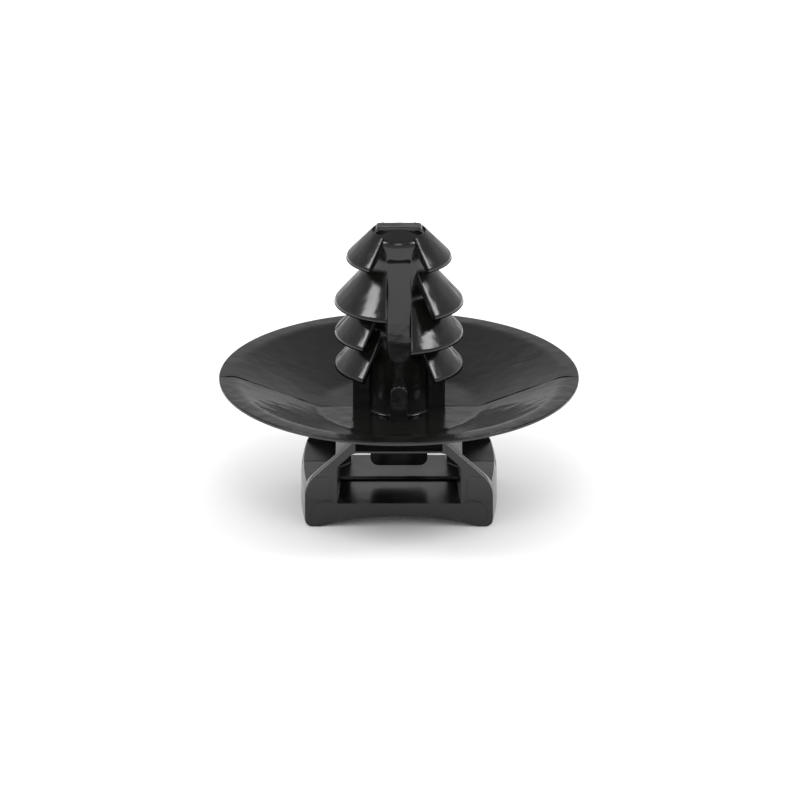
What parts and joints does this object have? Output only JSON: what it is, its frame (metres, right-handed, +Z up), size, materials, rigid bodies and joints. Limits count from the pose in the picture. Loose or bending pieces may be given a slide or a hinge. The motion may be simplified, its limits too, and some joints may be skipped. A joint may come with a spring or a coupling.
{
  "type": "fir tree push mount",
  "caption": "One-piece moulded push mount: a finned fir tree stem over a dished umbrella, and a saddle under it with a way through for a cable tie.",
  "frame": {"origin": "on the surface that the saddle's feet stand on, under the stem's axis, at the middle of the piece's box", "axes": "+Z up along the stem, from the saddle to the tip of the tree; -Y the front, where the saddle's long side and its window show; +X to the right"},
  "size_m": [0.024, 0.024, 0.0198],
  "materials": {
    "black_nylon": "moulded black nylon, glossy with faint satin areas"
  },
  "bodies": {
    "root": {"push_mount": "black_nylon"}
  },
  "joints": []
}
